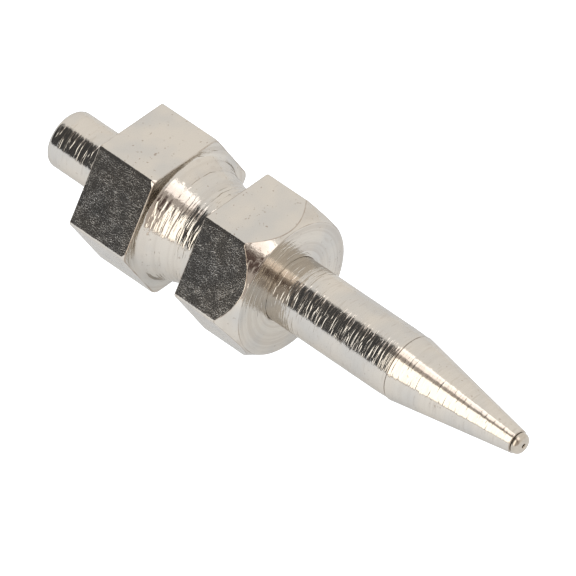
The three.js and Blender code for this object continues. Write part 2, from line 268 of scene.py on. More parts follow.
def carried_round(name, profile, materials):
    """A closed skin: each row of the profile, carried round the axis, joined to the next row by quads.

    A point at x, radius r and angle a lies at (x, -r sin a, axis height + r cos a). Each point also says
    how much of an edge and how much of an end face it is on.
    """
    x, r, theta = profile.x, profile.r, profile.theta
    rows, columns = x.shape
    points = np.stack([x, -r * np.sin(theta), AXIS_HEIGHT + r * np.cos(theta)], axis=-1) * MM
    i, j = np.meshgrid(np.arange(rows), np.arange(columns), indexing="ij")
    down, across = (i + 1) % rows, (j + 1) % columns
    here, there = i * columns, down * columns
    quads = np.stack([here + j, here + across, there + across, there + j], axis=-1).reshape(-1, 4)
    corner = points.reshape(-1, 3)[quads]
    flow = np.cross(corner[:, 2] - corner[:, 0], corner[:, 3] - corner[:, 1])
    if (corner.mean(1) * flow).sum() < 0:
        quads = quads[:, ::-1]
    mesh = bpy.data.meshes.new(name)
    mesh.vertices.add(rows * columns)
    mesh.vertices.foreach_set("co", points.ravel())
    mesh.loops.add(quads.size)
    mesh.loops.foreach_set("vertex_index", quads.ravel().astype(np.int32))
    mesh.polygons.add(len(quads))
    mesh.polygons.foreach_set("loop_start", np.arange(0, quads.size, 4, dtype=np.int32))
    mesh.polygons.foreach_set("material_index", np.repeat(profile.finish, columns).astype(np.int32))
    mesh.polygons.foreach_set("use_smooth", np.ones(len(quads), dtype=bool))
    for kind, values in (("edge", profile.edge), ("end_face", profile.face)):
        mark = mesh.attributes.new(kind, "FLOAT", "POINT")
        mark.data.foreach_set("value", np.repeat(values, columns).astype(np.float32))
    mesh.update(calc_edges=True)
    mesh.validate()
    for material in materials:
        mesh.materials.append(material)
    piece = bpy.data.objects.new(name, mesh)
    bpy.context.collection.objects.link(piece)
    return piece


def smooth(u):
    """Eases from 0 to 1 with flat ends: 3 u squared less 2 u cubed."""
    return u * u * (3 - 2 * u)


RANDOM_ROWS = 512  # rows of random values, after which the noise repeats
MIDDLE_ROW = 200  # the row at x = 0


def wander(x, theta, pitch, lobes, seed):
    """Smooth noise over the axis and the angle, from -1 to 1: random values on a grid, eased between.

    The grid is one pitch apart along the axis, and has a whole number of lobes round it.
    """
    draw = np.random.default_rng(seed).uniform(-1, 1, (RANDOM_ROWS, lobes))
    u, v = x / pitch + MIDDLE_ROW, theta / (2 * math.pi) * lobes
    i, j = np.floor(u).astype(int), np.floor(v).astype(int)
    along, around = smooth(u - i), smooth(v - j)
    row, next_row = i % RANDOM_ROWS, (i + 1) % RANDOM_ROWS
    lobe, next_lobe = j % lobes, (j + 1) % lobes
    near = draw[row, lobe] * (1 - around) + draw[row, next_lobe] * around
    far = draw[next_row, lobe] * (1 - around) + draw[next_row, next_lobe] * around
    return near * (1 - along) + far * along


def between(x, start, end, ease):
    """1 from start to end, easing to 0 over a short way inside both."""
    return smooth(np.clip((x - start) / ease, 0, 1)) * smooth(np.clip((end - x) / ease, 0, 1))


def thread_wave(x, theta, pitch):
    """A right-hand thread's height from -1 at the root to 1 at the crest, with flats on both.

    It is a triangle wave of x / pitch plus turns, made too tall and cut off at its top and bottom.
    """
    too_tall = 1.5
    turn = x / pitch + theta / (2 * math.pi)
    return np.clip((2 * np.abs((turn % 1) * 2 - 1) - 1) * too_tall, -1, 1)


# ---- Finishes ----

COOLER = (0.89, 0.92, 0.965, 1.0)  # shares of red, green, blue and alpha
DIMMER = (0.72, 0.72, 0.72, 1.0)


def linear(colour):
    """An sRGB hex value as a linear colour."""
    parts = [int(colour[i : i + 2], 16) / 255 for i in (1, 3, 5)]
    return tuple(c / 12.92 if c <= 0.04045 else ((c + 0.055) / 1.055) ** 2.4 for c in parts) + (1.0,)


def add(tree, kind, inputs=None, out=0, **settings):
    """Adds one node with its settings, input values and links, and gives back one of its outputs.

    Inputs go by name, or by number where names repeat. 0 to 4 of a Map Range are its value, the range it
    comes from and the range it goes to. 0 to 2 of a Math are its numbers. 0, 6 and 7 of a colour Mix are
    its factor and its colours.
    """
    node = tree.nodes.new("ShaderNode" + kind)
    for name, value in settings.items():
        setattr(node, name, value)
    for key, value in (inputs or {}).items():
        if isinstance(value, bpy.types.NodeSocket):
            tree.links.new(value, node.inputs[key])
        else:
            node.inputs[key].default_value = value
    return node.outputs[out] if node.outputs else None


def blank(name, **values):
    """A new material, its tree and its shader's inputs, set to the values."""
    material = bpy.data.materials.new(name)
    material.use_nodes = True
    tree = material.node_tree
    tree.nodes.clear()
    surface = add(tree, "BsdfPrincipled", values)
    add(tree, "OutputMaterial", {"Surface": surface})
    return material, tree, surface.node.inputs


def millimetres(tree):
    """Object coordinates in millimetres from the nozzle's axis.

    The scale of a noise is then its number of cells in a millimetre.
    """
    place = add(tree, "TexCoord", out="Object")
    scale = (1 / MM, 1 / MM, 1 / MM)
    return add(tree, "Mapping", {"Vector": place, "Location": (0, 0, -AXIS_HEIGHT), "Scale": scale})


def lathe_coordinates(tree, where):
    """Coordinates for tool marks, whose bands are rings.

    The first is the distance along the axis plus the distance from it, so it rises across tubes, cones and
    faces alike.
    """
    flat = add(tree, "VectorMath", {0: where, 1: (0, 1, 1)}, operation="MULTIPLY")
    radius = add(tree, "VectorMath", {0: flat}, out="Value", operation="LENGTH")
    apart = add(tree, "SeparateXYZ", {0: where}).node.outputs
    along = add(tree, "Math", {0: apart[0], 1: radius}, operation="ADD")
    return add(tree, "CombineXYZ", {0: along, 1: apart[1], 2: apart[2]})


def tool_marks(tree, lathe, pitch, length, detail):
    """Noise drawn out round the axis. Its cells are one pitch wide and one length long, in millimetres."""
    scale = (1 / pitch, 1 / length, 1 / length)
    cells = add(tree, "Mapping", {"Vector": lathe, "Scale": scale})
    return add(tree, "TexNoise", {"Vector": cells, "Scale": 1.0, "Detail": detail})


def turned_nickel(name, finish, depth):
    """Bright nickel plate over turned brass, with tool marks of a depth in millimetres.

    The plate levels the marks but keeps them as fine rings, so reflections run in threads round the axis.
    End faces show faint darker rings. These are painted shade in the tarnish colour, standing in for the
    faces' dimmer reflections. The deepest scores are a little darker everywhere. The feed marks are 0.2 mm
    apart, as a lathe leaves them.
    """
    material, tree, shader = blank(name, Metallic=1.0, Roughness=0.13)
    where = millimetres(tree)
    lathe = lathe_coordinates(tree, where)
    feed = tool_marks(tree, lathe, pitch=0.2, length=4.0, detail=1.0)
    fine = tool_marks(tree, lathe, pitch=1 / 12, length=1 / 0.9, detail=2.0)
    scores = tool_marks(tree, lathe, pitch=0.2, length=1.25, detail=1.0)
    face_shade_rings = tool_marks(tree, lathe, pitch=0.25, length=1 / 0.06, detail=2.0)
    lines = add(tree, "MapRange", {0: scores, 1: 0.54, 2: 0.66})
    grain = add(tree, "TexNoise", {"Vector": where, "Scale": 7.0, "Detail": 2.0})
    height = feed
    for share, part in ((0.35, fine), (0.55, lines), (0.22, grain)):
        height = add(tree, "Math", {0: part, 1: share, 2: height}, operation="MULTIPLY_ADD")
    bump = add(tree, "Bump", {"Height": height, "Distance": depth * MM})
    tree.links.new(bump, shader["Normal"])
    # Painted shade: end faces are darkened in rings towards the tarnish colour, for their dimmer reflections.
    on_face = add(tree, "Attribute", out="Fac", attribute_name="end_face")
    face_shade_share = add(tree, "MapRange", {0: on_face, 3: 0.12, 4: 0.8})
    face_shade_rings = add(tree, "MapRange", {0: face_shade_rings, 1: 0.42, 2: 0.62, 4: 0.22})
    face_shade_rings = add(tree, "Math", {0: face_shade_rings, 1: face_shade_share}, operation="MULTIPLY")
    grooves = add(tree, "MapRange", {0: scores, 1: 0.40, 2: 0.30, 4: 0.13})
    darker = add(tree, "Math", {0: face_shade_rings, 1: grooves}, operation="MAXIMUM")
    colour_nickel(tree, shader, where, finish, pits=0.35, darker=darker)
    return material


def drawn_nickel(name, finish):
    """Bright nickel plate over a cold-drawn hexagon bar.

    The bar's skin has a dense grain of 0.07 mm cells and 0.12 mm dimples, stronger in some patches than in
    others. It shows as light speckle where a flat mirrors something dark. Small pits are darker.
    """
    material, tree, shader = blank(name, Metallic=1.0, Roughness=0.12)
    where = millimetres(tree)
    grain = add(tree, "TexNoise", {"Vector": where, "Scale": 14.0, "Detail": 1.0, "Roughness": 0.6})
    dimples = add(tree, "TexVoronoi", {"Vector": where, "Scale": 8.0})
    height = add(tree, "Math", {0: dimples, 1: 0.5, 2: grain}, operation="MULTIPLY_ADD")
    patches = add(tree, "TexNoise", {"Vector": where, "Scale": 1.6, "Detail": 1.0})
    patches = add(tree, "MapRange", {0: patches, 1: 0.35, 2: 0.65, 3: 0.7, 4: 1.15})
    height = add(tree, "Math", {0: height, 1: patches}, operation="MULTIPLY")
    bump = add(tree, "Bump", {"Height": height, "Distance": 0.0075 * MM})
    tree.links.new(bump, shader["Normal"])
    colour_nickel(tree, shader, where, finish, pits=0.55, darker=0.0)
    return material


def colour_nickel(tree, shader, where, finish, pits, darker):
    """Colours nickel plate: it drifts from warm to cool over about 3 mm, and has the brown film of tarnish.

    The film lies in pits 0.2 mm across, and on the rounded edges, in patches of 1 mm. Its colour also goes
    where darker says so: painted shade on end faces, and the deepest scores.
    """
    nickel = linear(finish.nickel)
    film = linear(finish.tarnish)
    cool = tuple(c * f for c, f in zip(nickel, COOLER))
    drift = add(tree, "TexNoise", {"Vector": where, "Scale": 0.35, "Detail": 2.0})
    drift = add(tree, "MapRange", {0: drift, 1: 0.4, 2: 0.62})
    pit = add(tree, "TexNoise", {"Vector": where, "Scale": 4.5, "Detail": 1.0})
    pit = add(tree, "MapRange", {0: pit, 1: 0.70, 2: 0.76, 4: pits})
    patchy = add(tree, "TexNoise", {"Vector": where, "Scale": 1.1, "Detail": 3.0})
    patchy = add(tree, "MapRange", {0: patchy, 1: 0.35, 2: 0.65, 3: 0.1, 4: 0.6})
    edge = add(tree, "Attribute", out="Fac", attribute_name="edge")
    edge = add(tree, "Math", {0: edge, 1: patchy}, operation="MULTIPLY")
    base = nickel
    # The third mix lays the film colour where darker says so, which includes painted shade on end faces.
    for share, colour in ((drift, cool), (pit, film), (darker, film), (edge, film)):
        base = add(tree, "Mix", {0: share, 6: base, 7: colour}, out=2, data_type="RGBA")
    tree.links.new(base, shader["Base Color"])
    shader["Specular Tint"].default_value = linear("#E4E1DD")


def plain_metal(name, colour, roughness, grain, depth):
    """A metal with an even grain, in cells a millimetre, whose depth is in millimetres."""
    material, tree, shader = blank(name, Metallic=1.0, Roughness=roughness)
    bright = linear(colour)
    dark = tuple(c * f for c, f in zip(bright, DIMMER))
    shade = add(tree, "TexNoise", {"Vector": millimetres(tree), "Scale": grain, "Detail": 3.0})
    base = add(tree, "Mix", {0: shade, 6: dark, 7: bright}, out=2, data_type="RGBA")
    tree.links.new(base, shader["Base Color"])
    bump = add(tree, "Bump", {"Height": shade, "Distance": depth * MM})
    tree.links.new(bump, shader["Normal"])
    return material


def moulded_rubber(name, finish):
    """Moulded nitrile rubber: dull and nearly black, with a soft bloom in patches of 0.5 mm."""
    material, tree, shader = blank(name, Roughness=0.6)
    bloom = add(tree, "TexNoise", {"Vector": millimetres(tree), "Scale": 2.0, "Detail": 3.0})
    colours = {0: bloom, 6: linear(finish.rubber), 7: linear("#2A2A2B")}
    base = add(tree, "Mix", colours, out=2, data_type="RGBA")
    tree.links.new(base, shader["Base Color"])
    return material


def finish_of(name):
    """A finish by name, made on its first use."""
    if name in bpy.data.materials:
        return bpy.data.materials[name]
    colours = bpy.context.scene.nozzle_finish
    makers = {
        # Nickel plate over turned brass: bright, with threads of light round the axis.
        "turned_nickel_plate": lambda: turned_nickel(name, colours, depth=0.018),
        # The same plate over form-tool cuts: deeper rings, which break reflections up.
        "coarse_turned_nickel_plate": lambda: turned_nickel(name, colours, depth=0.026),
        # The same plate over a fine finishing cut: long and smooth streaks.
        "fine_turned_nickel_plate": lambda: turned_nickel(name, colours, depth=0.012),
        # Nickel plate over drawn bar: a mirror with fine speckle and small pits.
        "drawn_nickel_plate": lambda: drawn_nickel(name, colours),
        # Turned stainless steel: cool grey with a satin shine.
        "turned_stainless_steel": lambda: plain_metal(name, colours.steel, 0.28, grain=3.0, depth=0.003),
        # Stamped and annealed copper: salmon, soft, mottled by the heat.
        "annealed_copper": lambda: plain_metal(name, colours.copper, 0.35, grain=1.5, depth=0.002),
        # Bronze powder, pressed and sintered: golden, dull and grainy.
        "sintered_bronze": lambda: plain_metal(name, colours.bronze, 0.55, grain=7.0, depth=0.08),
        # Turned alloy, a little warmer and duller than the plate round it.
        "turned_tip_alloy": lambda: plain_metal(name, colours.brass, 0.2, grain=4.0, depth=0.002),
        # Moulded nitrile rubber: matt and nearly black.
        "moulded_nitrile_rubber": lambda: moulded_rubber(name, colours),
    }
    return makers[name]()


def turned_and_drawn():
    """The two finishes of a hexagon piece, in the order that profiles number them."""
    return [finish_of("coarse_turned_nickel_plate"), finish_of("drawn_nickel_plate")]


TURNED, DRAWN = 0, 1


# ---- Pieces ----


class NOZZLE_OT_body(bpy.types.Operator):
    """Makes the rear body: a drawn hexagon with square-cut ends, a ridged neck and the union thread.

    The radius is the hexagon's, then the neck's with a concave taper, then the thread's. The ridges add a
    sine of the distance along the axis, whose phase wanders, and two finer noises. The thread adds a
    triangle wave.
    """

    bl_idname = "nozzle.body"
    bl_label = "Rear body"

    WEB_BORE = 1.4  # mm, the radius behind the valve's chamber
    SOCKET_SPARE = 0.5  # mm that the socket is deeper than the spigot
    BLUNT_FROM = 0.60  # mm past the flats, from where the bar's corners are blunt at their front ends
    BLUNT_BACK = 1.5  # mm along, for each mm that a corner stands past that
    BLUNT_IN = 0.8  # mm inwards, for each mm that a corner stands past that
    BLUNT_START = 0.10  # mm behind the front end, at a corner that is hardly blunt
    NECK_TOP = 0.85  # mm that the neck's taper starts over the neck's radius
    # The neck's taper: mm past the hexagon, mm over the neck's radius, fillet and rows.
    TAPER = ((1.0, 0.38, 1.5, 70), (2.35, 0.0, 2.0, 90))
    NECK_TO_NUT = 0.35  # mm, over which the neck falls to the thread
    LEAD = 0.25  # mm, the chamfer at the thread's start
    PLAIN = 0.1  # mm past the hexagon, from where the neck has ridges
    PHASE = 1.6  # radians, by which the ridges wander

    def execute(self, context):
        sizes = context.scene.nozzle_sizes
        theta = around_hex(HEX_FLAT, sizes.corner_radius)
        outline = hex_radius(theta, HEX_FLAT, sizes.corner_radius)
        neck = sizes.neck_diameter / 2
        crest = (sizes.thread_diameter + sizes.thread_depth) / 2
        mean = sizes.thread_diameter / 2
        hex_end = BODY_BACK + sizes.hex_length
        blunt = np.maximum(outline - HEX_FLAT - self.BLUNT_FROM, 0)
        socket = outer_radius("inlet_spigot") + GAP
        socket_end = last_x("inlet_spigot") + self.SOCKET_SPARE
        chamber_start = first_x("valve_seat") - GAP
        chamber = outer_radius("valve_seat") + GAP
        edge = sizes.edge_radius
        neck_end = NUT_BACK - self.NECK_TO_NUT
        taper = [(hex_end + x, neck + r, fillet, rows, TURNED) for x, r, fillet, rows in self.TAPER]
        profile = Profile(
            [
                (BODY_BACK, socket, 0.04, 6, TURNED),
                (BODY_BACK, outline, edge, 3, DRAWN),
                (hex_end - self.BLUNT_START - self.BLUNT_BACK * blunt, outline, 0.0, 3, DRAWN),
                (hex_end, outline - self.BLUNT_IN * blunt, edge, 24, TURNED),
                (hex_end, neck + self.NECK_TOP, sizes.neck_fillet, 40, TURNED),
                *taper,
                (neck_end, neck, 0.05, 6, TURNED),
                (NUT_BACK, mean, 0.0, 60, TURNED),
                (THREAD_END - self.LEAD, mean, 0.0, 8, TURNED),
                (THREAD_END, mean - self.LEAD, 0.03, 4, TURNED),
                (THREAD_END, chamber, 0.03, 12, TURNED),
                (chamber_start, chamber, 0.0, 4, TURNED),
                (chamber_start, self.WEB_BORE, 0.0, 4, TURNED),
                (socket_end, self.WEB_BORE, 0.0, 4, TURNED),
                (socket_end, socket, 0.0, 8, TURNED),
            ],
            theta,
        )
        x, r, turn = profile.x, profile.r, profile.theta
        near_neck = np.abs(r - neck) < self.NECK_TOP + self.PLAIN
        on_neck = between(x, hex_end + self.PLAIN, neck_end, ease=0.5) * near_neck
        phase = 2 * math.pi * x / sizes.ridge_pitch + self.PHASE * wander(x, turn, pitch=1.1, lobes=3, seed=4)
        ridges = 0.8 * np.sin(phase) + 1.1 * wander(x, turn, pitch=0.14, lobes=11, seed=5)
        ridges += 0.6 * wander(x, turn, pitch=0.08, lobes=25, seed=6)
        profile.r = r + sizes.ridge_depth * ridges * on_neck
        on_rod = np.abs(r - mean) < self.LEAD + CLOSE
        on_thread = between(x, NUT_BACK - GAP, THREAD_END, ease=0.3) * on_rod
        profile.r += sizes.thread_depth / 2 * thread_wave(x, turn, sizes.thread_pitch) * on_thread
        profile.r = np.where(on_rod, np.minimum(profile.r, crest), profile.r)
        piece = carried_round("body_hexagon_and_neck", profile, turned_and_drawn())
        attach(piece, "holder")
        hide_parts("rear_hex_body")
        return {"FINISHED"}


class NOZZLE_OT_nut(bpy.types.Operator):
    """Makes the union nut: a drawn hexagon with a turned chamfer, a flat front face and an inside thread.

    At each angle the chamfer starts as far back from the front as the hexagon stands past the front face's
    rim, over the tangent of the chamfer's angle. That makes the curved edges on the flats. The thread adds
    the same triangle wave as the body's.
    """

    bl_idname = "nozzle.nut"
    bl_label = "Union nut"

    CHAMFER_FILLET = 0.14  # mm
    FRONT_GAP = 0.012  # mm between the front hole and the barrel
    THREAD_GAP = 0.05  # mm from the body's thread
    THREAD_PAST = 0.3  # mm that it runs on past the body's thread

    def execute(self, context):
        sizes = context.scene.nozzle_sizes
        theta = around_hex(HEX_FLAT, sizes.corner_radius)
        outline = hex_radius(theta, HEX_FLAT, sizes.corner_radius)
        face = HEX_FLAT - sizes.nut_face_inset
        chamfer_start = NUT_FRONT - (outline - face) / math.tan(sizes.chamfer_angle)
        hole = outer_radius("nozzle_cone") + self.FRONT_GAP
        shoulder = last_x("slip_washer") + GAP
        mean = sizes.thread_diameter / 2 + self.THREAD_GAP
        profile = Profile(
            [
                (NUT_BACK, mean, 0.0, 6, TURNED),
                (NUT_BACK, outline, sizes.edge_radius, 3, DRAWN),
                (chamfer_start, outline, self.CHAMFER_FILLET, 14, TURNED),
                (NUT_FRONT, face, sizes.edge_radius * 0.5, 20, TURNED),
                (NUT_FRONT, hole, 0.02, 6, TURNED),
                (shoulder, hole, 0.0, 4, TURNED),
                (shoulder, mean, 0.0, 70, TURNED),
            ],
            theta,
        )
        wave = thread_wave(profile.x, profile.theta, sizes.thread_pitch)
        in_bore = np.abs(profile.r - mean) < CLOSE
        on_thread = between(profile.x, NUT_BACK, THREAD_END + self.THREAD_PAST, ease=0.25) * in_bore
        profile.r = profile.r + sizes.thread_depth / 2 * wave * on_thread
        piece = carried_round("chamfered_union_nut", profile, turned_and_drawn())
        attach(piece, "nut")
        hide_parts("union_nut")
        return {"FINISHED"}


class NOZZLE_OT_barrel(bpy.types.Operator):
    """Makes the barrel and the cone, with the joint line between them.

    The barrel's radius is constant and the cone's falls evenly. Both lose a shallow noise, the feed marks.
    The barrel also loses its crown, which grows with the square of the distance into its last stretch.
    """

    bl_idname = "nozzle.barrel"
    bl_label = "Barrel and cone"

    BARREL_WALL = 1.1  # mm
    SOCKET_WALL = 0.65  # mm, round the cone's tail
    CROWN_LENGTH = 1.3  # mm
    CROWN_DROP = 0.05  # mm
    BARREL_MARKS = 0.0025  # mm
    CONE_MARKS = 0.0015  # mm
    SKIN = 0.8  # mm; what lies further out is the cone's outside

    def execute(self, context):
        outer = outer_radius("nozzle_cone")
        socket = outer - self.SOCKET_WALL
        self.barrel(outer, socket)
        self.cone(outer, socket)
        return {"FINISHED"}

    def barrel(self, outer, socket):
        """The tube, with the collar that the nut pulls on and the socket for the cone's tail."""
        bore = outer - self.BARREL_WALL
        socket_start = first_x("nozzle_cone") - GAP
        collar_start = first_x("barrel_tube")
        collar_end = first_x("slip_washer") - GAP
        collar = outer_radius("barrel_tube")
        profile = Profile(
            [
                (collar_start, bore, 0.0, 6, TURNED),
                (collar_start, collar, 0.05, 4, TURNED),
                (collar_end, collar, 0.05, 4, TURNED),
                (collar_end, outer, 0.0, 230, TURNED),
                (CONE_START, outer, 0.05, 3, TURNED),
                (CONE_START, socket, 0.0, 8, TURNED),
                (socket_start, socket, 0.0, 4, TURNED),
                (socket_start, bore, 0.0, 12, TURNED),
            ],
            around_round(192),
        )
        x, turn = profile.x, profile.theta
        skin = between(x, NUT_FRONT, FAR, ease=0.2) * (profile.r > outer - CLOSE)
        marks = wander(x, turn, pitch=0.21, lobes=2, seed=11)
        marks += 0.6 * wander(x, turn, pitch=0.11, lobes=4, seed=12)
        fall = np.maximum(x - CONE_START + self.CROWN_LENGTH, 0) / self.CROWN_LENGTH
        profile.r = profile.r - (self.BARREL_MARKS * (1 + marks) + self.CROWN_DROP * fall**2) * skin
        barrel = carried_round("barrel_skin", profile, [finish_of("turned_nickel_plate")])
        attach(barrel, "barrel")
        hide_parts("barrel_tube")

    def cone(self, outer, socket):
        """The cone, with its tail in the barrel and the bores for the core, its screw and the insert."""
        tail_start = first_x("nozzle_cone")
        tail = socket - GAP
        rear_bore = outer_radius("core_retaining_screw") + GAP
        core_start, core_end = first_x("swirl_core"), last_x("swirl_core") + GAP
        core_bore = outer_radius("swirl_core") + GAP
        shank_bore = outer_radius("orifice_insert") - SHANK_STEP + GAP
        slope = (outer_radius("orifice_insert") - outer) / (TIP - CONE_START)
        nose = outer + slope * (HEAD_BACK - CONE_START)
        profile = Profile(
            [
                (tail_start, rear_bore, 0.0, 3, TURNED),
                (tail_start, tail, 0.05, 8, TURNED),
                (CONE_START + GAP, tail, 0.0, 3, TURNED),
                (CONE_START + GAP, outer, 0.04, 200, TURNED),
                (HEAD_BACK - GAP, nose, 0.06, 3, TURNED),
                (HEAD_BACK - GAP, shank_bore, 0.0, 8, TURNED),
                (core_end, shank_bore, 0.0, 3, TURNED),
                (core_end, core_bore, 0.0, 12, TURNED),
                (core_start, core_bore, 0.0, 3, TURNED),
                (core_start - GAP, rear_bore, 0.0, 8, TURNED),
            ],
            around_round(160),
        )
        skin = between(profile.x, CONE_START + GAP, HEAD_BACK - GAP, ease=0.2) * (profile.r > self.SKIN)
        marks = wander(profile.x, profile.theta, pitch=0.3, lobes=2, seed=21)
        profile.r = profile.r - self.CONE_MARKS * (1 + marks) * skin
        cone = carried_round("cone_skin", profile, [finish_of("fine_turned_nickel_plate")])
        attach(cone, "barrel")
        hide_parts("nozzle_cone")


class NOZZLE_OT_tip(bpy.types.Operator):
    """Makes the orifice insert: a domed nub round a fine, countersunk orifice.

    Its outline is carried round the axis as it is. The dome is an arc between the nub's side and its end.
    """

    bl_idname = "nozzle.tip"
    bl_label = "Orifice insert"

    DOME = 0.36  # mm, the arc's radius
    ORIFICE = 0.14  # mm, its radius
    COUNTERSINK = 0.17  # mm, its radius
    COUNTERSINK_DEPTH = 0.08  # mm
    SHANK_WALL = 0.09  # mm, at the cup in its inner end
    CUP_DEPTH = 0.5  # mm

    def execute(self, context):
        head = outer_radius("orifice_insert")
        shank = head - SHANK_STEP
        start = first_x("orifice_insert")
        profile = Profile(
            [
                (start, shank - self.SHANK_WALL, 0.0, 3, TURNED),
                (start, shank, 0.05, 6, TURNED),
                (HEAD_BACK, shank, 0.0, 3, TURNED),
                (HEAD_BACK, head, 0.06, 3, TURNED),
                (TIP, head, self.DOME, 3, TURNED),
                (TIP, self.COUNTERSINK, 0.02, 3, TURNED),
                (TIP - self.COUNTERSINK_DEPTH, self.ORIFICE, 0.02, 8, TURNED),
                (start + self.CUP_DEPTH, self.ORIFICE, 0.0, 4, TURNED),
            ],
            around_round(96),
        )
        piece = carried_round("tip_nub", profile, [finish_of("turned_tip_alloy")])
        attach(piece, "barrel")
        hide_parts("orifice_insert")
        return {"FINISHED"}


class NOZZLE_OT_spigot(bpy.types.Operator):
    """Makes the inlet spigot, a tube with a well-rounded end.

    Its radius is constant less a shallow noise, the feed marks.
    """

    bl_idname = "nozzle.spigot"
    bl_label = "Inlet spigot"

    WALL = 0.9  # mm, inside of the filter's seat
    END_FILLET = 0.42  # mm
    MARKS = 0.0025  # mm
    PLAIN = 0.3  # mm at its end without marks

    def execute(self, context):
        outer = outer_radius("inlet_spigot")
        mouth = outer_radius("inlet_filter") + GAP
        bore = outer - self.WALL
        filter_end = last_x("inlet_filter") + GAP
        inner_end = last_x("inlet_spigot")
        profile = Profile(
            [
                (SPIGOT_END, mouth, 0.04, 3, TURNED),
                (SPIGOT_END, outer, self.END_FILLET, 120, TURNED),
                (inner_end, outer, 0.0, 3, TURNED),
                (inner_end, bore, 0.0, 8, TURNED),
                (filter_end, bore, 0.0, 3, TURNED),
                (filter_end, mouth, 0.0, 8, TURNED),
            ],
            around_round(160),
        )
        x, turn = profile.x, profile.theta
        skin = between(x, SPIGOT_END + self.PLAIN, BODY_BACK, ease=0.2) * (profile.r > outer - CLOSE)
        marks = wander(x, turn, pitch=0.2, lobes=2, seed=31)
        marks += 0.6 * wander(x, turn, pitch=0.1, lobes=4, seed=32)
        profile.r = profile.r - self.MARKS * (1 + marks) * skin
        spigot = carried_round("spigot_skin", profile, [finish_of("turned_nickel_plate")])
        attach(spigot, "holder")
        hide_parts("inlet_spigot")
        return {"FINISHED"}


class NOZZLE_OT_spring(bpy.types.Operator):
    """Makes the valve spring, which shortens between the poppet and its retainer as the valve lifts."""

    bl_idname = "nozzle.spring"
    bl_label = "Valve spring"

    WIRE = 0.32  # mm, its diameter
    TURNS = 5
    SIDES = 12
    STEPS_PER_TURN = 40
    CLOSE_ENDS = 0.3  # 0 spaces the coils evenly, and towards 1 the end coils close up

    def execute(self, context):
        """Carries the wire's circle along a helix and caps both its ends.

        At a share u of the way and wire angle b, the turn angle is u times the turns. The radius is the
        helix's plus the wire's times sin b. The place along the axis is u less close sin(2 pi u) / 2 pi of
        the way, plus the wire's radius times cos b.
        """
        wire = self.WIRE / 2
        reach = outer_radius("valve_spring") - wire
        start = first_x("valve_spring") + wire
        end = last_x("valve_spring") - wire
        u = np.linspace(0, 1, self.TURNS * self.STEPS_PER_TURN + 1)[:, None]
        b = np.linspace(0, 2 * math.pi, self.SIDES, endpoint=False)[None, :]
        a = 2 * math.pi * self.TURNS * u
        way = u - self.CLOSE_ENDS * np.sin(2 * math.pi * u) / (2 * math.pi)
        x = start + (end - start) * way + wire * np.cos(b)
        r = reach + wire * np.sin(b)
        points = np.stack([x, -r * np.sin(a), AXIS_HEIGHT + r * np.cos(a)], axis=-1) * MM
        i, j = np.meshgrid(np.arange(len(u) - 1), np.arange(self.SIDES), indexing="ij")
        across = (j + 1) % self.SIDES
        here, there = i * self.SIDES, (i + 1) * self.SIDES
        quads = np.stack([here + j, there + j, there + across, here + across], axis=-1)
        last = (len(u) - 1) * self.SIDES
        caps = [list(range(self.SIDES)), list(range(last + self.SIDES - 1, last - 1, -1))]
        mesh = bpy.data.meshes.new("valve_spring_coil")
        mesh.from_pydata(points.reshape(-1, 3).tolist(), [], quads.reshape(-1, 4).tolist() + caps)
        shape = bmesh.new()
        shape.from_mesh(mesh)
        bmesh.ops.recalc_face_normals(shape, faces=shape.faces)
        shape.to_mesh(mesh)
        shape.free()
        mesh.polygons.foreach_set("use_smooth", np.ones(len(mesh.polygons), dtype=bool))
        mesh.materials.append(finish_of("turned_stainless_steel"))
        piece = bpy.data.objects.new("valve_spring_coil", mesh)
        context.collection.objects.link(piece)
        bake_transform(piece)
        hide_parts("valve_spring")
        return {"FINISHED"}


class NOZZLE_OT_inside(bpy.types.Operator):
    """Gives the pieces inside their finishes."""

    bl_idname = "nozzle.inside"
    bl_label = "Pieces inside"

    FINISHES = {
        "turned_stainless_steel": (
            "filter_snap_ring valve_seat valve_poppet spring_retainer retainer_circlip "
            "slip_washer core_retaining_screw swirl_core"
        ),
        "annealed_copper": "spigot_seal barrel_seal_washer",
        "sintered_bronze": "inlet_filter",
        "moulded_nitrile_rubber": "seat_o_ring poppet_seal",
    }

    def execute(self, context):
        for finish, nodes in self.FINISHES.items():
            for node in nodes.split():
                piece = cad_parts[node]
                piece.data.materials.clear()
                piece.data.materials.append(finish_of(finish))
        return {"FINISHED"}


# ---- Studio ----


LAMP_DISTANCE = 0.5  # m from the nozzle
STAND = (0.50, -0.53, 0.685)  # towards the camera stand, which the chamfers mirror


def softbox(name, direction, width, height, radiance, colour):
    """A rectangular light that faces the nozzle, with its width along the nozzle.

    Its power is radiance times pi times area, so a larger one is no dimmer in a reflection.
    """
    data = bpy.data.lights.new(name, "AREA")
    data.shape = "RECTANGLE"
    data.size, data.size_y = width, height
    data.energy = radiance * math.pi * width * height
    data.color = linear(colour)[:3]
    lamp = bpy.data.objects.new(name, data)
    towards = Vector(direction).normalized()
    side = towards.cross(Vector((1, 0, 0))).normalized()
    turn = Matrix((side.cross(towards), side, towards)).transposed().to_4x4()
    place = towards * LAMP_DISTANCE + Vector((0, 0, AXIS_HEIGHT * MM))
    lamp.matrix_world = Matrix.Translation(place) @ turn
    bpy.context.collection.objects.link(lamp)


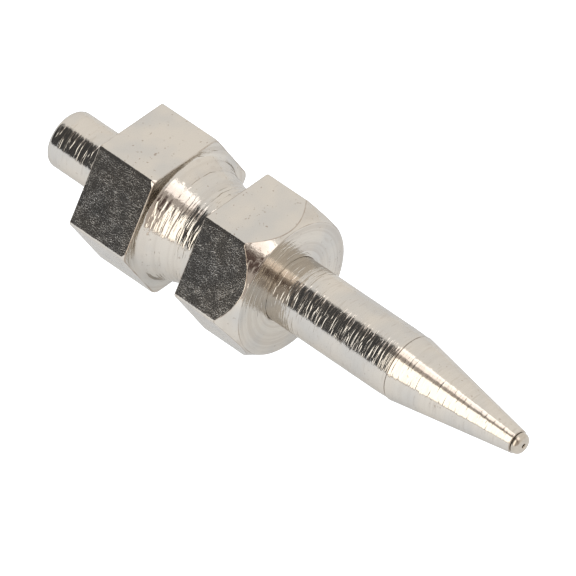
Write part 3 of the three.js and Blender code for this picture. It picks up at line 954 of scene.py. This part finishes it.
class NOZZLE_OT_stage(bpy.types.Operator):
    """Makes the pale floor, the light tent, the softboxes and the camera."""

    bl_idname = "nozzle.stage"
    bl_label = "Stage"

    def execute(self, context):
        self.floor()
        self.tent(context)
        overhead = (0.168, -0.12, 0.975)
        softbox("overhead_softbox", overhead, width=0.51, height=0.20, radiance=1.22, colour="#FFF8F6")
        side = (-0.078, -0.863, 0.50)
        softbox("side_softbox", side, width=0.287, height=0.50, radiance=1.6, colour="#FFFCF4")
        self.camera(context)
        return {"FINISHED"}

    def floor(self):
        """A square sheet of paper, lit from behind. It is white to the camera and dimmer to the nozzle."""
        half = 0.9  # m
        corners = [(-half, -half, 0), (half, -half, 0), (half, half, 0), (-half, half, 0)]
        mesh = bpy.data.meshes.new("paper_floor")
        mesh.from_pydata(corners, [], [(0, 1, 2, 3)])
        floor = bpy.data.objects.new("paper_floor", mesh)
        bpy.context.collection.objects.link(floor)
        material, tree, shader = blank("pale_paper", Roughness=0.9)
        shader["Base Color"].default_value = linear("#ADAFB3")
        shader["Emission Color"].default_value = linear("#F7FBFF")
        seen = add(tree, "LightPath", out="Is Camera Ray")
        glow = add(tree, "MapRange", {0: seen, 3: 0.66, 4: 1.3})
        tree.links.new(glow, shader["Emission Strength"])
        mesh.materials.append(material)

    def tent(self, context):
        """A light tent behind the nozzle, a dim room at its front left and the dark camera stand."""
        world = bpy.data.worlds.new("studio")
        context.scene.world = world
        world.use_nodes = True
        tree = world.node_tree
        tree.nodes.clear()
        towards = add(tree, "TexCoord", out="Generated")
        apart = add(tree, "SeparateXYZ", {0: towards}).node.outputs
        right = add(tree, "MapRange", {0: apart[0], 1: -0.46, 2: -0.12})
        behind = add(tree, "MapRange", {0: apart[1], 1: -0.10, 2: -0.02})
        near = add(tree, "VectorMath", {0: towards, 1: STAND}, out="Value", operation="DOT_PRODUCT")
        near = add(tree, "MapRange", {0: near, 1: 0.973, 2: 0.989})
        seen = add(tree, "LightPath", out="Is Camera Ray")
        colour = linear("#474748")
        for share, shade in ((right, "#C9BFB8"), (near, "#5F4E49"), (behind, "#FFFDFB"), (seen, "#FFFFFF")):
            colour = add(tree, "Mix", {0: share, 6: colour, 7: linear(shade)}, out=2, data_type="RGBA")
        background = add(tree, "Background", {"Color": colour})
        add(tree, "OutputWorld", {"Surface": background})

    def camera(self, context):
        """Aims the camera from its azimuth, elevation and roll, then slides it to frame the nozzle."""
        studio = context.scene.nozzle_studio
        a, e, roll = studio.azimuth, studio.elevation, studio.roll
        right = Vector((math.cos(a), math.sin(a), 0))
        back = Vector((math.sin(a) * math.cos(e), -math.cos(a) * math.cos(e), math.sin(e)))
        up = back.cross(right)
        turned_right = right * math.cos(roll) + up * math.sin(roll)
        turned_up = up * math.cos(roll) - right * math.sin(roll)
        aim = Vector((studio.aim_x, 0, AXIS_HEIGHT)) * MM
        aim += (turned_up * studio.frame_down - turned_right * studio.frame_right) * MM
        data = bpy.data.cameras.new("studio_camera")
        data.lens = studio.lens
        data.sensor_width = 36
        camera = bpy.data.objects.new("studio_camera", data)
        turn = Matrix((turned_right, turned_up, back)).transposed().to_4x4()
        camera.matrix_world = Matrix.Translation(aim + back * studio.distance) @ turn
        context.collection.objects.link(camera)
        context.scene.camera = camera
        context.scene.view_settings.view_transform = "Standard"


class NOZZLE_PT_panel(bpy.types.Panel):
    """Lists the sizes, the finishes and the steps of the build."""

    bl_idname = "NOZZLE_PT_panel"
    bl_label = "Oil burner nozzle"
    bl_space_type = "VIEW_3D"
    bl_region_type = "UI"
    bl_category = "Nozzle"

    def draw(self, context):
        for group in (context.scene.nozzle_sizes, context.scene.nozzle_finish, context.scene.nozzle_studio):
            for name in group.bl_rna.properties.keys():
                if name not in {"rna_type", "name"}:
                    self.layout.prop(group, name)
        for step in STEPS:
            self.layout.operator(step.bl_idname)


STEPS = (
    NOZZLE_OT_body,
    NOZZLE_OT_nut,
    NOZZLE_OT_barrel,
    NOZZLE_OT_tip,
    NOZZLE_OT_spigot,
    NOZZLE_OT_spring,
    NOZZLE_OT_inside,
    NOZZLE_OT_stage,
)
CLASSES = (NozzleSizes, NozzleFinish, StudioSettings, *STEPS, NOZZLE_PT_panel)


def register():
    """Registers the classes and puts their settings on the scene."""
    for cls in CLASSES:
        bpy.utils.register_class(cls)
    bpy.types.Scene.nozzle_sizes = bpy.props.PointerProperty(type=NozzleSizes)
    bpy.types.Scene.nozzle_finish = bpy.props.PointerProperty(type=NozzleFinish)
    bpy.types.Scene.nozzle_studio = bpy.props.PointerProperty(type=StudioSettings)


def unregister():
    """Takes the settings off the scene and unregisters the classes."""
    del bpy.types.Scene.nozzle_studio
    del bpy.types.Scene.nozzle_finish
    del bpy.types.Scene.nozzle_sizes
    for cls in reversed(CLASSES):
        bpy.utils.unregister_class(cls)


def main():
    register()
    for step in STEPS:
        group, name = step.bl_idname.split(".")
        getattr(getattr(bpy.ops, group), name)()


if __name__ == "__main__":
    main()
